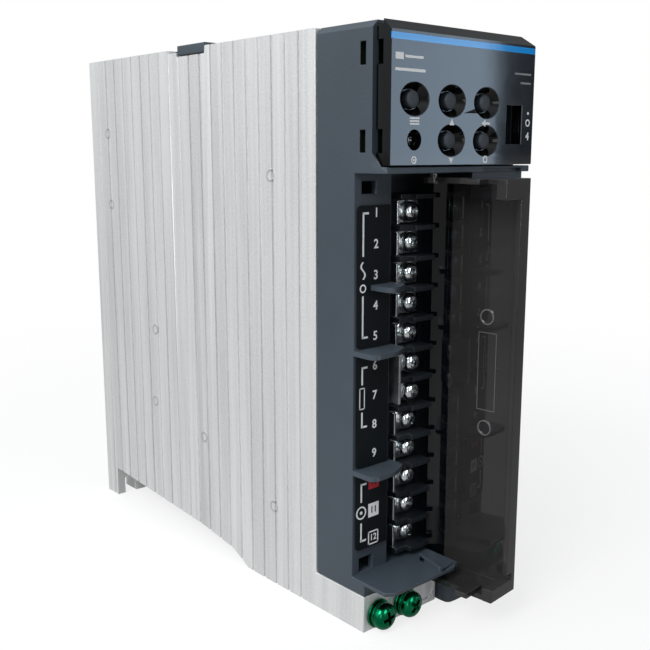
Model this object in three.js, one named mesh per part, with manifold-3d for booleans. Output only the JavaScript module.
// Compact single-axis servo drive, standing on its base with the terminal door open.
//
// Lengths are millimetres. Every piece is drawn in one set of working coordinates:
//   x  from the left side (bare heat sink) to the right side
//   y  from the keypad face to the rear mounting face
//   z  from the base upwards
// The finished group is moved once, at the end, so that its origin is the middle of the footprint.

import * as THREE from 'three';
import { mergeVertices } from 'three/addons/utils/BufferGeometryUtils.js';
import Module from 'manifold-3d';

const wasm = await Module();
wasm.setup();

// ---------------------------------------------------------------- driving sizes

// the whole drive
const width = 57.2;
const depth = 152.9;
const height = 162;
const fit = 0.3; // gap between two assembled pieces
const seam = 0.6; // visible gap between the moulded front and the aluminium
const wall = 2.2; // moulded casing wall

// heat sink: side wall, rear mounting plate, front flange and floor in one casting
const sinkWall = 3.2;
const sinkFront = 27.5; // front edge of the side wall
const mountPlate = 3;
const sinkTopRadius = 3;
const grooveCount = 20;
const grooveWidth = 0.9;
const grooveDepth = 0.6;
const grooveFrontMargin = 6.8;
const grooveRearMargin = 6.2;
const flangeFront = 7.4;
const flangeWidth = 29.2;
const flangeHeight = 10.5;
const flangeThickness = 7;
const floorThickness = 3;
const floorEnd = 60.4; // the base is flat as far as this, then rises to the rear
const rampEnd = { y: 68.5, z: 4 };
const kneeEnd = { y: 86, z: 6.6 };
const riseEnd = 10.8; // height of the underside where it meets the rear foot
const footDepth = 8;
const footWidth = 12;
const mountSlotWidth = 4.7; // slots for the two M4 screws that hold the drive to a panel
const lowerSlot = { x: 5.35, top: 7.6 };
const upperSlotFromRight = 8;
const upperSlotDepth = 7.5;
const screwAccess = { deep: 9, tall: 16 }; // clear space for a screwdriver in front of the upper slot
const vent = {
  wide: 3, pitch: 7, fromLeft: 8, fromRight: 20, topFront: 14, topRear: 22, baseFront: 4, baseRear: 12,
};
const modulePad = { y0: 52, y1: 104, z0: 42, z1: 104, thickness: 2.5 };

// catch on the casing that hooks over the top edge of the heat sink
const catchFront = 79;
const catchLength = 15;
const catchDrop = 2;
const catchRise = 1;
const catchStep = 5.7;

// moulded front housing
const panelBase = 127; // lower edge of the keypad panel
const ledgeBase = 125; // ceiling of the terminal bay
const bayFloor = 14.8; // floor of the terminal bay
const shelfThickness = 1.1;
const coverBase = 10.8; // lower edge of the left cover
const coverFront = 12.3; // face of the label strip
const stripWidth = 13.4;
const stripWall = 1.8;
const upperFront = 6; // the housing behind the keypad panel starts here
const topChamfer = 1.6; // along the top left edge
const ledgeFront = 0.6;
const shelfFront = -2.2;
const shelfCorner = 2.3;
const shelfSideFront = -0.4;
const bayRight = 35.2; // left wall of the signal column
const columnFront = 3;
const columnFootLeft = 29.9;
const columnFootTop = 9.3;
const columnFootRadius = 3;
const latchPocket = { x0: 2.7, x1: 7.7, lowerBase: 15.3, lowerTop: 19.3, upperBase: 119.7, upperTop: 123 };
const sideSlot = { y0: 8.5, y1: 10.5, tall: 5.6, lowerBase: 130.2, upperBase: 151.5 };
const finThickness = 1.4;
const finFront = 4.4;
const wireFins = [
  { z: 94.5, left: 5.6 },
  { z: 77.4, left: 0 },
  { z: 44.3, left: 0 },
];
const labelFilm = 0.35;
const labelInset = 0.8;
const labelCorner = 1.4;
const labelMargin = 2.6; // between a latch pocket and the nearest label
const shelfRib = { rearX: 22.6, rearY: 8.2, frontX: 20.2, frontY: -1.9, wide: 1.2, tall: 1.5 };

// keypad panel
const panelThickness = 2.8;
const panelBevel = 2.7;
const panelSkirtEnd = 5.6;
const panelSkirtInset = 0.9;
const panelSkirtWall = 1.4;
const buttonColumn = [8.8, 22.8, 36.7];
const upperRow = 143.2;
const lowerRow = 133.3;
const dish = { wide: 10.4, tall: 8.1, floor: 5.4, deep: 2.1 };
const capRadius = 2.2;
const capFace = 0.3;
const collarRadius = 3.1;
const buttonEnd = 8.2;
const ledRadius = 1.5;
const ledDish = { wide: 5.2, floor: 4, deep: 1.6 };
const ledDome = { straight: 6, long: 7.4 };
const usbSlot = { fromRight: 11.8, wide: 6.7, base: 132.6, tall: 10.4 };
const usbShell = { wide: 3.9, tall: 8, face: 4.7 };

// terminal row
const terminalCount = 12;
const firstTerminal = 114.4;
const terminalPitch = 8.45;
const terminalX = 23.4;
const barrierThickness = 1.4;
const barrierFront = 10.2;
const barrierLeft = 16.8;
const barrierRight = 28.9;
const barrierStep = 1.6; // the left part of a barrier stands back
const barrierCrest = 2.4; // the full height starts this far left of the screws
const blockFront = 16.6;
const blockRear = 25.6;
const plateLeft = 16.3;
const plateRight = 28;
const plateGap = 0.375; // between a plate and the barriers above and below it
const plateMetal = 0.8;
const flangeRise = 2.8;
const screwHead = { radius: 2.75, thick: 2.2, crown: 0.7, arm: 1.7, half: 0.4, recess: 1.2 };
const screwShank = { radius: 1.5, long: 7.5 };
const linkFrom = 5; // the shorting link joins this terminal and the next, counted from zero
const linkLeft = 15.1;
const linkRise = 4.4;
const linkMetal = 0.8;
const linkOvershoot = 1.9; // how far the upstand runs below the lower of its two screws
const linkFootHalf = 2.4;

// hinged terminal door, given as it stands closed
const doorOpen = 95.5; // degrees the door has swung in this model
const doorFace = -4.6;
const doorWall = 1.6;
const doorBase = 9.6;
const doorTop = 123.8;
const doorLip = 4.3;
const doorDepth = 11.6;
const doorShelf = 1.5;
const doorCap = 3;
const upperCapTall = 5.4;
const lowerCapTall = 3.8;
const doorTab = { x0: 5.2, x1: 9.2, reach: 4.6 };
const pivot = { x: 23.15, y: 6.39 };
const barrelAngle = 35; // how far the door's hinge side curls round the pivot
const hingeArmRadius = 2.7;
const hingePinRadius = 1.2;

// ground screws on the flange
const groundScrews = [
  { x: 5, z: 4.5 },
  { x: 15.5, z: 4.5 },
];
const groundShank = 2;
const groundHead = { radius: 3.75, thick: 2.9, crown: 1, arm: 2.4, half: 0.55, recess: 1.6 };
const groundWasher = { radius: 4.1, thick: 1.6 };
const spotFace = { x: 24.6, z: 5.3, radius: 4, deep: 0.4 };

// sockets in the signal column
const socketWidth = 13.4;
const socketFace = 2.2;
const socketDepth = 15;
const sockets = [
  { name: 'comm_port_upper', base: 106.5, tall: 13, cavityWide: 11.6, cavityTall: 8.4, cavityDeep: 11 },
  { name: 'comm_port_lower', base: 90.5, tall: 13, cavityWide: 11.6, cavityTall: 8.4, cavityDeep: 11 },
  { name: 'io_connector', base: 46, tall: 38, cavityWide: 7.6, cavityTall: 32, cavityDeep: 6 },
  { name: 'encoder_connector', base: 20, tall: 20, cavityWide: 7.6, cavityTall: 14.5, cavityDeep: 6 },
];

// screws that hold the casing to the rear plate
const casingScrew = { radius: 1.5, headRadius: 2.8, headThick: 1.5, headDeep: 1.9, slotWide: 0.8, slotDeep: 0.9 };
const casingBoss = { wide: 8, long: 8 };
const casingScrewPlaces = [
  { x: width - 5.4, z: 30 },
  { x: width - 5.4, z: 120 },
];

// inside the casing
const boardThickness = 1.6;
const displayBoardFace = 9;
const powerBoardX = 14.2;
const moduleThickness = 5.5;
const capacitor = { radius: 12.5, long: 36, firstY: 64, secondY: 92, z: 128 };
const relayBody = { y: 120, z: 60, long: 22, tall: 24, wide: 15 };

// ---------------------------------------------------------------- solids

// closed three.js geometry as a solid that can be joined and cut
function solid(geometry) {
  const bare = geometry.clone();
  bare.deleteAttribute('normal');
  bare.deleteAttribute('uv');
  const merged = mergeVertices(bare, 1e-4);
  const corner = merged.index.array;
  const kept = [];
  for (let i = 0; i < corner.length; i += 3) {
    const [a, b, c] = [corner[i], corner[i + 1], corner[i + 2]];
    if (a !== b && b !== c && c !== a) kept.push(a, b, c);
  }
  return new wasm.Manifold(new wasm.Mesh({
    numProp: 3,
    vertProperties: new Float32Array(merged.attributes.position.array),
    triVerts: new Uint32Array(kept),
  }));
}

function join(...pieces) {
  return pieces.reduce((whole, piece) => whole.add(piece));
}

function cut(body, ...tools) {
  return tools.reduce((rest, tool) => rest.subtract(tool), body);
}

function block(x0, x1, y0, y1, z0, z1) {
  const box = new THREE.BoxGeometry(x1 - x0, y1 - y0, z1 - z0);
  return solid(box.translate((x0 + x1) / 2, (y0 + y1) / 2, (z0 + z1) / 2));
}

// cylinder or cone along x, y or z, from one end to the other, about a centre line
function rod(axis, from, to, centre, radius, endRadius = radius, sides = 28) {
  const shape = new THREE.CylinderGeometry(endRadius, radius, to - from, sides);
  const middle = (from + to) / 2;
  if (axis === 'x') {
    shape.rotateZ(-Math.PI / 2).translate(middle, centre[0], centre[1]);
  } else if (axis === 'y') {
    shape.translate(centre[0], middle, centre[1]);
  } else {
    shape.rotateX(Math.PI / 2).translate(centre[0], centre[1], middle);
  }
  return solid(shape);
}

// outline whose corners are [u, v] or [u, v, rounding]
function outline(corners) {
  const shape = new THREE.Shape();
  const place = corners.map(([u, v]) => new THREE.Vector2(u, v));
  corners.forEach(([, , rounding = 0], i) => {
    const here = place[i];
    const before = place[(i + corners.length - 1) % corners.length];
    const after = place[(i + 1) % corners.length];
    const start = here.clone().add(before.clone().sub(here).setLength(rounding));
    const end = here.clone().add(after.clone().sub(here).setLength(rounding));
    if (i === 0) shape.moveTo(start.x, start.y);
    else shape.lineTo(start.x, start.y);
    if (rounding > 0) shape.quadraticCurveTo(here.x, here.y, end.x, end.y);
  });
  shape.closePath();
  return shape;
}

// outline drawn in (y, z), (x, z) or (x, y) and carried along the remaining axis
function prism(axis, from, to, corners) {
  const shape = corners instanceof THREE.Shape ? corners : outline(corners);
  const body = new THREE.ExtrudeGeometry(shape, { depth: to - from, bevelEnabled: false, curveSegments: 5 });
  if (axis === 'x') {
    body.rotateX(Math.PI / 2).rotateZ(Math.PI / 2).translate(from, 0, 0);
  } else if (axis === 'y') {
    body.rotateX(Math.PI / 2).translate(0, to, 0);
  } else {
    body.translate(0, 0, from);
  }
  return solid(body);
}

// ---------------------------------------------------------------- finishes

const finish = {
  castAluminium: { color: 0xc9cbcc, roughness: 0.45, metalness: 0.9 },
  slatePlastic: { color: 0x485059, roughness: 0.55, metalness: 0 },
  glossBlack: { color: 0x16181d, roughness: 0.12, metalness: 0 },
  buttonRubber: { color: 0x3a3f46, roughness: 0.6, metalness: 0 },
  clearLens: { color: 0x8c9296, roughness: 0.1, metalness: 0 },
  smokedClear: { color: 0x2b2d31, roughness: 0.08, metalness: 0 },
  blackPlastic: { color: 0x14171b, roughness: 0.5, metalness: 0 },
  labelBlack: { color: 0x0d1118, roughness: 0.4, metalness: 0 },
  nickel: { color: 0xd4d8da, roughness: 0.25, metalness: 1 },
  tinned: { color: 0xa4a8aa, roughness: 0.5, metalness: 1 },
  greenZinc: { color: 0x0f7a4b, roughness: 0.3, metalness: 0.9 },
  steel: { color: 0x9a9ea2, roughness: 0.35, metalness: 1 },
  boardGreen: { color: 0x1d5a35, roughness: 0.5, metalness: 0 },
  sleeveBlue: { color: 0x24406b, roughness: 0.4, metalness: 0 },
};

const drive = new THREE.Group();

function add(name, body, look, parent = drive) {
  const { vertProperties, triVerts } = body.getMesh();
  const geometry = new THREE.BufferGeometry();
  geometry.setAttribute('position', new THREE.BufferAttribute(new Float32Array(vertProperties), 3));
  geometry.setIndex(new THREE.BufferAttribute(new Uint32Array(triVerts), 1));
  geometry.computeVertexNormals();
  const mesh = new THREE.Mesh(geometry, new THREE.MeshStandardMaterial(finish[look]));
  mesh.name = name;
  parent.add(mesh);
  return mesh;
}

// ---------------------------------------------------------------- shared places

const beyond = 5; // how far a cutting tool runs past the face it opens
const plateFace = depth - mountPlate; // inner face of the rear plate
const casingRear = plateFace - fit;
const coverRear = sinkFront - seam;
const footFront = depth - footDepth;
const usbCentre = width - usbSlot.fromRight + usbSlot.wide / 2;
const socketLeft = width - wall - fit - boardThickness - fit - socketWidth;
const casingLeft = sinkWall + fit;
const plateHeight = terminalPitch - barrierThickness - 2 * plateGap;
const shelfRight = flangeWidth + 0.2;
const doorSweep = pivot.y - doorFace - doorWall - fit; // radius kept clear inside the swinging door

// underside of the drive as (y, z) corners, from a given y to the rear foot
function underside(fromY) {
  return [
    [fromY, 0],
    [floorEnd, 0],
    [rampEnd.y, rampEnd.z],
    [kneeEnd.y, kneeEnd.z],
  ];
}

function undersideAt(y) {
  const share = (y - kneeEnd.y) / (footFront - kneeEnd.y);
  return kneeEnd.z + share * (riseEnd - kneeEnd.z);
}

// ---------------------------------------------------------------- heat sink

function heatSink() {
  const side = prism('x', 0, sinkWall, [
    ...underside(flangeFront),
    [footFront, riseEnd],
    [footFront, 0],
    [depth, 0],
    [depth, height, sinkTopRadius],
    [sinkFront, height],
    [sinkFront, flangeHeight],
    [flangeFront, flangeHeight],
  ]);
  const rear = block(0, width, plateFace, depth, riseEnd, height);
  const foot = block(0, footWidth, footFront, depth, 0, riseEnd + 1);
  const flange = block(0, flangeWidth, flangeFront, flangeFront + flangeThickness, 0, flangeHeight);
  const floor = block(0, flangeWidth, flangeFront, floorEnd, 0, floorThickness);
  const pad = block(sinkWall - 1, sinkWall + modulePad.thickness,
    modulePad.y0, modulePad.y1, modulePad.z0, modulePad.z1);
  const body = join(side, rear, foot, flange, floor, pad);

  const firstGroove = sinkFront + grooveFrontMargin;
  const groovePitch = (depth - grooveRearMargin - firstGroove) / (grooveCount - 1);
  const grooves = [];
  for (let i = 0; i < grooveCount; i += 1) {
    const y = firstGroove + i * groovePitch;
    grooves.push(block(-beyond, grooveDepth, y - grooveWidth / 2, y + grooveWidth / 2, -beyond, height + beyond));
  }
  return cut(body, ...grooves, ...mountSlots(), ...catchNotch(), ...groundHoles(), ...casingScrewHoles());
}

function casingScrewHoles() {
  return casingScrewPlaces.flatMap(({ x, z }) => [
    rod('y', plateFace - beyond, depth + beyond, [x, z], casingScrew.radius + fit, casingScrew.radius + fit, 16),
    rod('y', depth - casingScrew.headDeep - fit, depth + beyond, [x, z], casingScrew.headRadius + fit),
  ]);
}

// one slot opens downwards at the foot, the other upwards at the top right
function mountSlots() {
  const half = mountSlotWidth / 2;
  const upperX = width - upperSlotFromRight;
  const lowerArch = lowerSlot.top - half;
  const upperArch = height - upperSlotDepth + half;
  return [
    block(lowerSlot.x - half, lowerSlot.x + half, footFront - beyond, depth + beyond, -beyond, lowerArch),
    rod('y', footFront - beyond, depth + beyond, [lowerSlot.x, lowerArch], half),
    block(upperX - half, upperX + half, plateFace - beyond, depth + beyond, upperArch, height + beyond),
    rod('y', plateFace - beyond, depth + beyond, [upperX, upperArch], half),
  ];
}

function catchNotch() {
  const end = catchFront + catchLength;
  return [
    block(-beyond, sinkWall + 1, catchFront - fit, end + fit, height - catchDrop - fit, height + beyond),
    block(-beyond, sinkWall + 1, end, end + catchStep, height - catchDrop / 2, height + beyond),
  ];
}

function groundHoles() {
  const holes = groundScrews.map(({ x, z }) => (
    rod('y', flangeFront - beyond, flangeFront + flangeThickness + beyond, [x, z], groundShank + fit)));
  const face = rod('y', flangeFront - beyond, flangeFront + spotFace.deep,
    [spotFace.x, spotFace.z], spotFace.radius);
  return [...holes, face];
}

add('heat_sink', heatSink(), 'castAluminium');

// ---------------------------------------------------------------- main casing

// top, right side and bottom in one moulding, closed by the heat sink on the left and at the rear
function mainCasing() {
  const rearLow = undersideAt(casingRear);
  const outer = prism('x', casingLeft, width, [
    ...underside(sinkFront),
    [casingRear, rearLow],
    [casingRear, height],
    [sinkFront, height],
  ]);
  const hollow = prism('x', casingLeft - beyond, width - wall, [
    [sinkFront - beyond, wall],
    [floorEnd, wall],
    [rampEnd.y, rampEnd.z + wall],
    [kneeEnd.y, kneeEnd.z + wall],
    [casingRear + beyond, undersideAt(casingRear + beyond) + wall],
    [casingRear + beyond, height - wall],
    [sinkFront - beyond, height - wall],
  ]);
  const floorGap = block(casingLeft - beyond, flangeWidth + fit, sinkFront - beyond, floorEnd + fit,
    -beyond, floorThickness + fit);
  const footGap = block(casingLeft - beyond, footWidth + fit, footFront - fit, casingRear + beyond,
    0, riseEnd + 1 + fit);
  const hook = block(0, casingLeft + 1, catchFront, catchFront + catchLength,
    height - catchDrop, height + catchRise);
  const pocket = screwPocket(0);
  const pocketWalls = screwPocket(wall);
  const shell = cut(outer, cut(hollow, pocketWalls), pocket, floorGap, footGap, ...vents());
  const bosses = casingScrewPlaces.map(({ x, z }) => (
    block(x - casingBoss.wide / 2, width - wall + 1, casingRear - casingBoss.long, casingRear,
      z - casingBoss.wide / 2, z + casingBoss.wide / 2)));
  const bossHoles = casingScrewPlaces.map(({ x, z }) => (
    rod('y', casingRear - casingBoss.long - 1, casingRear + beyond, [x, z], casingScrew.radius + fit,
      casingScrew.radius + fit, 16)));
  return cut(join(shell, hook, ...bosses), ...bossHoles);
}

// clear space in front of the upper mounting slot, so that a screwdriver reaches its screw
function screwPocket(grow) {
  return block(width - 2 * upperSlotFromRight - grow, width + beyond,
    casingRear - screwAccess.deep - grow, casingRear + beyond,
    height - screwAccess.tall - grow, height + beyond);
}

// rows of slots in the top and the bottom for cooling air
function vents() {
  const slots = [];
  const left = casingLeft + vent.fromLeft;
  const right = width - vent.fromRight;
  for (let y = sinkFront + vent.topFront; y < casingRear - vent.topRear; y += vent.pitch) {
    slots.push(block(left, right, y, y + vent.wide, height - wall - 1, height + beyond));
  }
  for (let y = kneeEnd.y + vent.baseFront; y < footFront - vent.baseRear; y += vent.pitch) {
    slots.push(block(left, right, y, y + vent.wide, -beyond, riseEnd + wall + 1));
  }
  return slots;
}

add('main_casing', mainCasing(), 'slatePlastic');

// ---------------------------------------------------------------- front housing

function frontHousing() {
  const upper = prism('y', upperFront, coverRear, [
    [0, ledgeBase],
    [width, ledgeBase],
    [width, height],
    [topChamfer, height],
    [0, height - topChamfer],
  ]);
  const ledge = block(0, width, ledgeFront, upperFront + 1, ledgeBase, panelBase - fit);
  const cheek = prism('x', 0, panelSkirtInset - fit, [
    [upperFront + 1, ledgeBase],
    [panelThickness + fit, ledgeBase],
    [panelThickness + fit, panelBase - fit],
    [upperFront, panelBase + 3.2],
    [upperFront + 1, panelBase + 3.2],
  ]);
  const strip = prism('x', 0, stripWidth, [
    [flangeFront, coverBase],
    [coverRear, coverBase, 4],
    [coverRear, ledgeBase + 1],
    [coverFront, ledgeBase + 1],
    [coverFront, bayFloor],
    [flangeFront, bayFloor],
  ]);
  const column = block(bayRight, width, columnFront, coverRear, 0, ledgeBase + 1);
  const columnFoot = prism('z', 0, columnFootTop, [
    [columnFootLeft, columnFront, columnFootRadius],
    [width, columnFront],
    [width, coverRear],
    [columnFootLeft, coverRear],
  ]);
  const outside = join(upper, ledge, cheek, strip, column, columnFoot, shelf());
  const inside = [
    block(wall, width - wall, upperFront - beyond, coverRear + beyond, panelBase + wall, height - wall),
    block(bayRight + wall, width - wall, columnFront + wall, coverRear + beyond, wall, panelBase + wall + 1),
    block(wall, stripWidth - 1.4, coverFront + stripWall, coverRear + beyond, bayFloor, ledgeBase),
  ];
  return join(cut(outside, ...inside, ...housingOpenings()), ...wireFins.map(wireFin));
}

// floor of the terminal bay, reaching forward as a shelf with a clipped corner
function shelf() {
  const lip = prism('z', bayFloor - shelfThickness, bayFloor, [
    [0, coverFront + 1],
    [0, shelfSideFront],
    [shelfCorner, shelfFront],
    [pivot.x + Math.sqrt(doorSweep ** 2 - (pivot.y - shelfFront) ** 2), shelfFront],
    [shelfRight, pivot.y - Math.sqrt(doorSweep ** 2 - (shelfRight - pivot.x) ** 2)],
    [shelfRight, coverFront + 1],
  ]);
  const floor = block(0, shelfRight, flangeFront, coverRear, coverBase, bayFloor);
  const rearFloor = block(0, bayRight + 1, coverFront + stripWall, coverRear, coverBase, bayFloor);
  const rib = prism('z', bayFloor - 0.1, bayFloor + shelfRib.tall, [
    [shelfRib.rearX, shelfRib.rearY],
    [shelfRib.frontX, shelfRib.frontY],
    [shelfRib.frontX + shelfRib.wide, shelfRib.frontY],
    [shelfRib.rearX + shelfRib.wide, shelfRib.rearY],
  ]);
  return join(lip, floor, rearFloor, rib);
}

// what is cut through the finished housing
function housingOpenings() {
  const pocket = latchPocket;
  const pinHole = hingePinRadius + fit;
  const slots = [sideSlot.lowerBase, sideSlot.upperBase].map((base) => (
    block(-beyond, wall + 1, sideSlot.y0, sideSlot.y1, base, base + sideSlot.tall)));
  const portHoles = sockets.map(({ base, tall }) => (
    block(socketLeft - fit, socketLeft + socketWidth + fit, columnFront - beyond, columnFront + wall + 1,
      base - fit, base + tall + fit)));
  const doorRoom = block(doorTab.x0 - 3 * fit, shelfRight + beyond, flangeFront - beyond, coverFront,
    coverBase - beyond, bayFloor - shelfThickness);
  const ledgeRecess = block(width - 20.5, width - 3.6, ledgeFront - beyond, ledgeFront + 1.8,
    ledgeBase - beyond, ledgeBase + 1.1);
  return [
    ...slots,
    ...portHoles,
    ledgeRecess,
    doorRoom,
    block(pocket.x0, pocket.x1, coverFront - beyond, coverFront + stripWall + 1, pocket.lowerBase, pocket.lowerTop),
    block(pocket.x0, pocket.x1, coverFront - beyond, coverFront + stripWall + 1, pocket.upperBase, pocket.upperTop),
    rod('z', ledgeBase - beyond, ledgeBase + 1.6, [pivot.x, pivot.y], pinHole),
    rod('z', bayFloor - beyond, bayFloor + 1, [pivot.x, pivot.y], pinHole),
  ];
}

// rounded shelf between two groups of terminals, which keeps their wires apart
function wireFin({ z, left }) {
  const root = coverFront + 0.6;
  const right = stripWidth + 0.8;
  const nose = right - 5.2;
  const rounding = Math.min(2.4, (nose - left) / 2);
  return prism('z', z, z + finThickness, [
    [left, root],
    [left, finFront, rounding],
    [nose, finFront, rounding],
    [right, finFront + 2.6, 1.6],
    [right, root],
  ]);
}

add('front_housing', frontHousing(), 'slatePlastic');

// ---------------------------------------------------------------- keypad panel

function keypadPanel() {
  const face = prism('x', fit, width, [
    [0, panelBase],
    [panelThickness, panelBase],
    [panelThickness, height - 0.1],
    [0, height - panelBevel],
  ]);
  const skirt = block(panelSkirtInset, width - panelSkirtInset, panelThickness - 1, panelSkirtEnd,
    panelBase + 0.6, height - 1);
  const skirtHollow = block(panelSkirtInset + panelSkirtWall, width - panelSkirtInset - panelSkirtWall,
    panelThickness, panelSkirtEnd + beyond, panelBase + 0.6 + panelSkirtWall, height - 1 - panelSkirtWall);
  const corner = prism('y', -beyond, panelSkirtEnd + beyond, [
    [width - 3.4, height + 0.1],
    [width + 0.1, height - 3],
    [width + beyond, height - 3],
    [width + beyond, height + beyond],
    [width - 3.4, height + beyond],
  ]);
  const notches = [sideSlot.lowerBase, sideSlot.upperBase].map((base) => (
    block(-beyond, panelSkirtInset + panelSkirtWall + 1, panelThickness, panelSkirtEnd + beyond,
      base, base + sideSlot.tall)));
  const usb = block(usbCentre - usbSlot.wide / 2, usbCentre + usbSlot.wide / 2, -beyond, panelThickness + beyond,
    usbSlot.base, usbSlot.base + usbSlot.tall);
  return cut(join(face, skirt), skirtHollow, corner, ...notches, usb, ...panelDishes());
}

// an oval dish round each button and a round one for the lamp, each with a hole at its bottom
function panelDishes() {
  const tools = [];
  for (const { x, z } of buttonPlaces) {
    tools.push(dishTool([x, z], dish.wide, dish.tall, dish.floor, dish.deep));
    tools.push(rod('y', -beyond, panelThickness + 1, [x, z], capRadius + fit));
  }
  const lamp = [buttonColumn[0], lowerRow];
  tools.push(dishTool(lamp, ledDish.wide, ledDish.wide, ledDish.floor, ledDish.deep));
  tools.push(rod('y', -beyond, panelThickness + 1, lamp, ledRadius + fit));
  return tools;
}

// cone that runs out past the face of the panel on its own slope
function dishTool([x, z], wide, tall, floor, deep) {
  const past = 0.5;
  const mouth = tall + past * (tall - floor) / deep;
  const cone = new THREE.CylinderGeometry(floor / 2, mouth / 2, deep + past, 32);
  return solid(cone.scale(wide / tall, 1, 1).translate(x, (deep - past) / 2, z));
}

const buttonPlaces = [
  { name: 'mode_button', x: buttonColumn[0], z: upperRow },
  { name: 'up_button', x: buttonColumn[1], z: upperRow },
  { name: 'shift_button', x: buttonColumn[2], z: upperRow },
  { name: 'down_button', x: buttonColumn[1], z: lowerRow },
  { name: 'set_button', x: buttonColumn[2], z: lowerRow },
];

add('display_panel', keypadPanel(), 'glossBlack');

// cap, retaining collar behind the panel and plunger down to its switch
for (const { name, x, z } of buttonPlaces) {
  const collarFace = panelThickness + 0.4;
  add(name, join(
    rod('y', capFace, collarFace + 0.1, [x, z], capRadius),
    rod('y', collarFace, collarFace + 0.9, [x, z], collarRadius),
    rod('y', collarFace + 0.8, buttonEnd, [x, z], capRadius - 0.6),
  ), 'buttonRubber');
}

function chargeLamp() {
  const profile = new THREE.Shape();
  profile.moveTo(0, 0);
  profile.lineTo(ledRadius, 0);
  profile.lineTo(ledRadius, ledDome.straight);
  profile.quadraticCurveTo(ledRadius, ledDome.long, 0, ledDome.long);
  const dome = new THREE.LatheGeometry(profile.getPoints(5), 20);
  dome.rotateX(-Math.PI).translate(buttonColumn[0], displayBoardFace - fit, lowerRow);
  return solid(dome);
}

add('charge_led', chargeLamp(), 'clearLens');

function usbPort() {
  const halfWide = usbShell.wide / 2;
  const middle = usbSlot.base + usbSlot.tall / 2;
  const halfTall = usbShell.tall / 2;
  const body = block(usbCentre - halfWide, usbCentre + halfWide, usbShell.face, displayBoardFace - fit,
    middle - halfTall, middle + halfTall);
  const metal = 0.4;
  const mouth = prism('y', usbShell.face - beyond, displayBoardFace - fit - metal, [
    [usbCentre - halfWide + metal, middle - halfTall + metal + 0.8],
    [usbCentre, middle - halfTall + metal],
    [usbCentre + halfWide - metal, middle - halfTall + metal],
    [usbCentre + halfWide - metal, middle + halfTall - metal],
    [usbCentre, middle + halfTall - metal],
    [usbCentre - halfWide + metal, middle + halfTall - metal - 0.8],
  ]);
  const tongue = block(usbCentre - 0.2, usbCentre + 0.6, usbShell.face + 0.6, displayBoardFace - fit - metal / 2,
    middle - halfTall + 1.6, middle + halfTall - 1.6);
  return join(cut(body, mouth), tongue);
}

add('usb_port', usbPort(), 'nickel');

// ---------------------------------------------------------------- terminal row

function terminalZ(index) {
  return firstTerminal - index * terminalPitch;
}

// insulating block with a barrier on each side of every terminal
function terminalBlock() {
  const base = block(stripWidth + fit, bayRight - fit, blockFront, blockRear, bayFloor + fit, ledgeBase - fit);
  const barriers = [];
  for (let i = 0; i <= terminalCount; i += 1) {
    const z = terminalZ(i) + terminalPitch / 2;
    const low = z - barrierThickness / 2;
    const high = z + barrierThickness / 2;
    barriers.push(block(barrierLeft, barrierRight, barrierFront + barrierStep, blockFront + 1, low, high));
    barriers.push(block(terminalX - barrierCrest, barrierRight, barrierFront, blockFront + 1, low, high));
  }
  const holes = [];
  for (let i = 0; i < terminalCount; i += 1) {
    holes.push(rod('y', blockFront - beyond, blockFront + screwShank.long, [terminalX, terminalZ(i)],
      screwShank.radius + fit, screwShank.radius + fit, 12));
  }
  return cut(join(base, ...barriers), ...holes);
}

add('terminal_block', terminalBlock(), 'blackPlastic');

// flat plate under the screw, its left edge bent up towards the wire
function terminalPlate(index) {
  const z = terminalZ(index);
  const rear = blockFront - fit;
  const front = rear - plateMetal;
  const low = z - plateHeight / 2;
  const high = z + plateHeight / 2;
  const flat = block(plateLeft, plateRight, front, rear, low, high);
  const bent = block(plateLeft, plateLeft + plateMetal, front - flangeRise, rear, low, high);
  const hole = rod('y', front - beyond, rear + beyond, [terminalX, z], screwShank.radius + fit,
    screwShank.radius + fit, 12);
  const linked = index === linkFrom || index === linkFrom + 1;
  return cut(linked ? flat : join(flat, bent), hole);
}

function crossRecess([x, z], face, { arm, half, recess }) {
  return join(
    block(x - arm, x + arm, face - beyond, face + recess, z - half, z + half),
    block(x - half, x + half, face - beyond, face + recess, z - arm, z + arm),
  );
}

function terminalScrew(index) {
  const z = terminalZ(index);
  const under = blockFront - fit - plateMetal - fit;
  const linked = index === linkFrom || index === linkFrom + 1;
  const seat = linked ? under - linkMetal - fit : under;
  const crown = seat - screwHead.thick;
  const head = join(
    rod('y', crown + screwHead.crown, seat, [terminalX, z], screwHead.radius, screwHead.radius, 20),
    rod('y', crown, crown + screwHead.crown, [terminalX, z], screwHead.radius - screwHead.crown,
      screwHead.radius, 20),
  );
  const shank = rod('y', seat - 0.5, blockFront + screwShank.long - 1, [terminalX, z],
    screwShank.radius, screwShank.radius, 12);
  return cut(join(head, shank), crossRecess([terminalX, z], crown, screwHead));
}

for (let i = 0; i < terminalCount; i += 1) {
  const number = String(i + 1).padStart(2, '0');
  add(`terminal_plate_${number}`, terminalPlate(i), 'nickel');
  add(`terminal_screw_${number}`, terminalScrew(i), 'nickel');
}

// bent bar under two neighbouring screws, its upstand facing the labels
function shortingLink() {
  const rear = blockFront - fit - plateMetal - fit;
  const front = rear - linkMetal;
  const low = terminalZ(linkFrom + 1) - linkOvershoot;
  const high = terminalZ(linkFrom) + plateHeight / 2;
  const upstand = block(linkLeft, linkLeft + linkMetal, front - linkRise, rear, low, high);
  const feet = [linkFrom, linkFrom + 1].map((index) => {
    const z = terminalZ(index);
    const foot = block(linkLeft, terminalX + linkFootHalf, front, rear, z - linkFootHalf, z + linkFootHalf);
    return cut(foot, rod('y', front - beyond, rear + beyond, [terminalX, z], screwShank.radius + fit,
      screwShank.radius + fit, 12));
  });
  const below = block(linkLeft - 1, barrierRight, front - beyond, rear + 1, low - beyond, low);
  return cut(join(upstand, ...feet), below);
}

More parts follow.
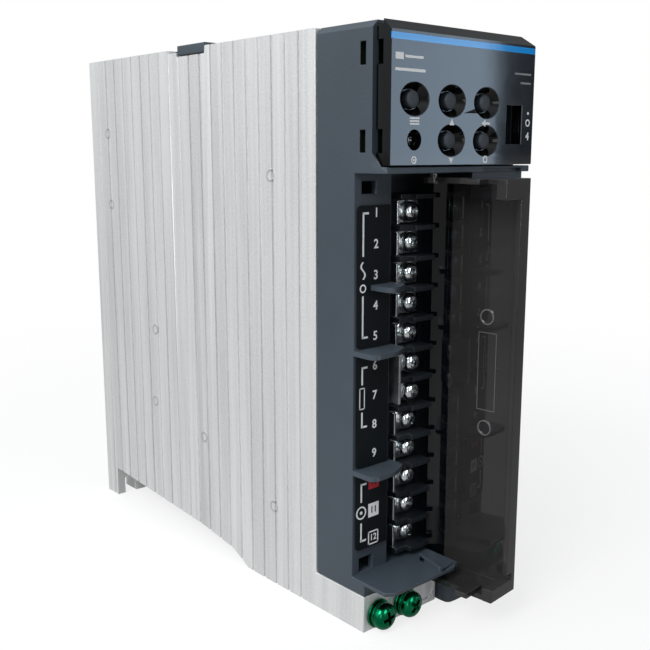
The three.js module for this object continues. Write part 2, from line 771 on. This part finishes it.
add('shorting_link', shortingLink(), 'tinned');

// printed plates on the label strip, one between each pair of wire fins
const labelPlates = [
  { name: 'supply_label', low: wireFins[1].z + finThickness, high: latchPocket.upperBase - labelMargin },
  { name: 'resistor_label', low: wireFins[2].z + finThickness, high: wireFins[1].z },
  { name: 'motor_label', low: latchPocket.lowerTop + labelMargin, high: wireFins[2].z },
];
for (const { name, low, high } of labelPlates) {
  const plate = prism('y', coverFront - fit - labelFilm, coverFront - fit, [
    [labelInset, low + fit, labelCorner],
    [stripWidth - labelInset, low + fit],
    [stripWidth - labelInset, high - fit],
    [labelInset, high - fit, labelCorner],
  ]);
  const finSlot = wireFin({ ...wireFins[0], z: wireFins[0].z - fit });
  const finSlotTop = wireFin({ ...wireFins[0], z: wireFins[0].z + fit });
  add(name, cut(plate, finSlot, finSlotTop), 'labelBlack');
}

// ---------------------------------------------------------------- terminal door

// section of the door seen from above: side lip, face and the curl round the pivot
function doorSection() {
  const outer = pivot.y - doorFace;
  const inner = outer - doorWall;
  const start = -Math.PI / 2;
  const end = start + THREE.MathUtils.degToRad(barrelAngle);
  const shape = new THREE.Shape();
  shape.moveTo(0, doorFace);
  shape.lineTo(pivot.x, doorFace);
  shape.absarc(pivot.x, pivot.y, outer, start, end, false);
  shape.absarc(pivot.x, pivot.y, inner, end, start, true);
  shape.lineTo(doorWall, doorFace + doorWall);
  shape.lineTo(doorWall, doorFace + doorLip);
  shape.lineTo(0, doorFace + doorLip);
  shape.closePath();
  return shape;
}

function terminalDoor() {
  const rear = doorFace + doorDepth;
  const shell = prism('z', doorBase, doorTop, doorSection());
  const roof = prism('z', doorTop - doorShelf, doorTop, [
    [0, doorFace],
    [pivot.x + hingeArmRadius, doorFace + doorWall / 2],
    [pivot.x + hingeArmRadius, pivot.y + hingeArmRadius, hingeArmRadius],
    [pivot.x - hingeArmRadius, pivot.y + hingeArmRadius, hingeArmRadius],
    [pivot.x - hingeArmRadius, rear],
    [0, rear],
  ]);
  const sill = block(0, pivot.x - hingeArmRadius, doorFace, rear - 0.1, doorBase, doorBase + doorShelf);
  const upperCap = block(0, doorCap, doorFace, rear, doorTop - upperCapTall, doorTop);
  const lowerCap = block(0, doorCap, doorFace, rear, doorBase, doorBase + lowerCapTall);
  const armBase = flangeHeight + 0.4;
  const arm = prism('z', armBase, armBase + doorShelf, [
    [pivot.x - hingeArmRadius - 2, doorFace + 1],
    [pivot.x + hingeArmRadius, doorFace + doorWall / 2],
    [pivot.x + hingeArmRadius, pivot.y + hingeArmRadius, hingeArmRadius],
    [pivot.x - hingeArmRadius, pivot.y + hingeArmRadius, hingeArmRadius],
    [pivot.x - hingeArmRadius - 2, rear - 0.2],
  ]);
  const tabRear = rear + doorTab.reach;
  const upperTab = block(doorTab.x0, doorTab.x1, rear - 1, tabRear, doorTop - doorShelf, doorTop);
  const lowerTab = block(doorTab.x0, doorTab.x1, rear - 3, tabRear, armBase, armBase + doorShelf);
  const upperPin = rod('z', doorTop - 1, ledgeBase + 1.3, [pivot.x, pivot.y], hingePinRadius,
    hingePinRadius, 20);
  const lowerPin = rod('z', armBase + 0.5, bayFloor - fit, [pivot.x, pivot.y], hingePinRadius,
    hingePinRadius, 20);
  const shelfNotch = block(-beyond, doorWall + fit, doorFace + doorWall, doorFace + doorLip + beyond,
    bayFloor - shelfThickness - fit, bayFloor + fit);
  const latched = cut(shell, shelfNotch);
  return join(latched, roof, sill, upperCap, lowerCap, arm, upperTab, lowerTab, upperPin, lowerPin);
}

const doorHinge = new THREE.Group();
doorHinge.position.set(pivot.x, pivot.y, 0);
doorHinge.rotation.z = THREE.MathUtils.degToRad(doorOpen);
drive.add(doorHinge);
const door = add('terminal_door', terminalDoor(), 'smokedClear', doorHinge);
door.position.set(-pivot.x, -pivot.y, 0);

// ---------------------------------------------------------------- ground screws

groundScrews.forEach(({ x, z }, i) => {
  const number = i + 1;
  const washerRear = flangeFront - fit;
  const washerFront = washerRear - groundWasher.thick;
  const seat = washerFront - fit;
  const crown = seat - groundHead.thick;
  const washer = cut(
    join(
      rod('y', washerRear - 0.8, washerRear, [x, z], groundWasher.radius),
      rod('y', washerFront, washerRear - 0.7, [x, z], groundHead.radius - 0.1),
    ),
    rod('y', washerFront - beyond, washerRear + beyond, [x, z], groundShank + fit),
  );
  const screw = join(
    rod('y', crown + groundHead.crown, seat, [x, z], groundHead.radius),
    rod('y', crown, crown + groundHead.crown, [x, z], groundHead.radius - groundHead.crown, groundHead.radius),
    rod('y', seat - 0.5, flangeFront + flangeThickness - 1, [x, z], groundShank, groundShank, 20),
  );
  add(`ground_washer_${number}`, washer, 'greenZinc');
  add(`ground_screw_${number}`, cut(screw, crossRecess([x, z], crown, groundHead)), 'greenZinc');
});

// ---------------------------------------------------------------- sockets and boards

for (const { name, base, tall, cavityWide, cavityTall, cavityDeep } of sockets) {
  const middleX = socketLeft + socketWidth / 2;
  const middleZ = base + tall / 2;
  const body = block(socketLeft, socketLeft + socketWidth, socketFace, socketFace + socketDepth, base, base + tall);
  const mouth = block(middleX - cavityWide / 2, middleX + cavityWide / 2, socketFace - beyond,
    socketFace + cavityDeep, middleZ - cavityTall / 2, middleZ + cavityTall / 2);
  add(name, cut(body, mouth), name.startsWith('comm') ? 'steel' : 'blackPlastic');
}

const boardRear = casingRear - 4;

add('display_board', block(wall + fit, width - wall - fit, displayBoardFace, displayBoardFace + boardThickness,
  panelBase + wall + fit, height - wall - fit), 'boardGreen');

add('display_module', block(8, 40, panelThickness + 2 * fit, displayBoardFace - fit, 147.6, 157.6),
  'blackPlastic');

add('control_board', block(width - wall - fit - boardThickness, width - wall - fit, 12, boardRear - 12,
  15, panelBase - 2), 'boardGreen');

add('power_board', block(powerBoardX, powerBoardX + boardThickness, sinkFront + 1, boardRear, 20, height - 8),
  'boardGreen');

add('power_module', block(sinkWall + modulePad.thickness + fit, sinkWall + modulePad.thickness + fit
  + moduleThickness, modulePad.y0 + 3, modulePad.y1 - 3, modulePad.z0 + 3, modulePad.z1 - 3), 'blackPlastic');

const onPowerBoard = powerBoardX + boardThickness + fit;
[capacitor.firstY, capacitor.secondY].forEach((y, i) => {
  add(`bus_capacitor_${i + 1}`, rod('x', onPowerBoard, onPowerBoard + capacitor.long, [y, capacitor.z],
    capacitor.radius, capacitor.radius, 24), 'sleeveBlue');
});

add('inrush_relay', block(onPowerBoard, onPowerBoard + relayBody.wide, relayBody.y, relayBody.y + relayBody.long,
  relayBody.z, relayBody.z + relayBody.tall), 'blackPlastic');

// ---------------------------------------------------------------- casing screws

// countersunk into the rear plate and driven into bosses on the casing
casingScrewPlaces.forEach(({ x, z }, i) => {
  const seat = depth - casingScrew.headDeep;
  const screw = join(
    rod('y', seat, seat + casingScrew.headThick, [x, z], casingScrew.headRadius),
    rod('y', casingRear - casingBoss.long + 1, seat + 0.5, [x, z], casingScrew.radius, casingScrew.radius, 16),
  );
  const slotFloor = seat + casingScrew.headThick - casingScrew.slotDeep;
  const slot = block(x - casingScrew.headRadius - 1, x + casingScrew.headRadius + 1, slotFloor, depth + beyond,
    z - casingScrew.slotWide / 2, z + casingScrew.slotWide / 2);
  add(`casing_screw_${i + 1}`, cut(screw, slot), 'steel');
});

// ---------------------------------------------------------------- place the drive on its origin

const bounds = new THREE.Box3().setFromObject(drive, true);
const middle = bounds.getCenter(new THREE.Vector3());
drive.position.set(-middle.x, -middle.y, -bounds.min.z);

export default drive;
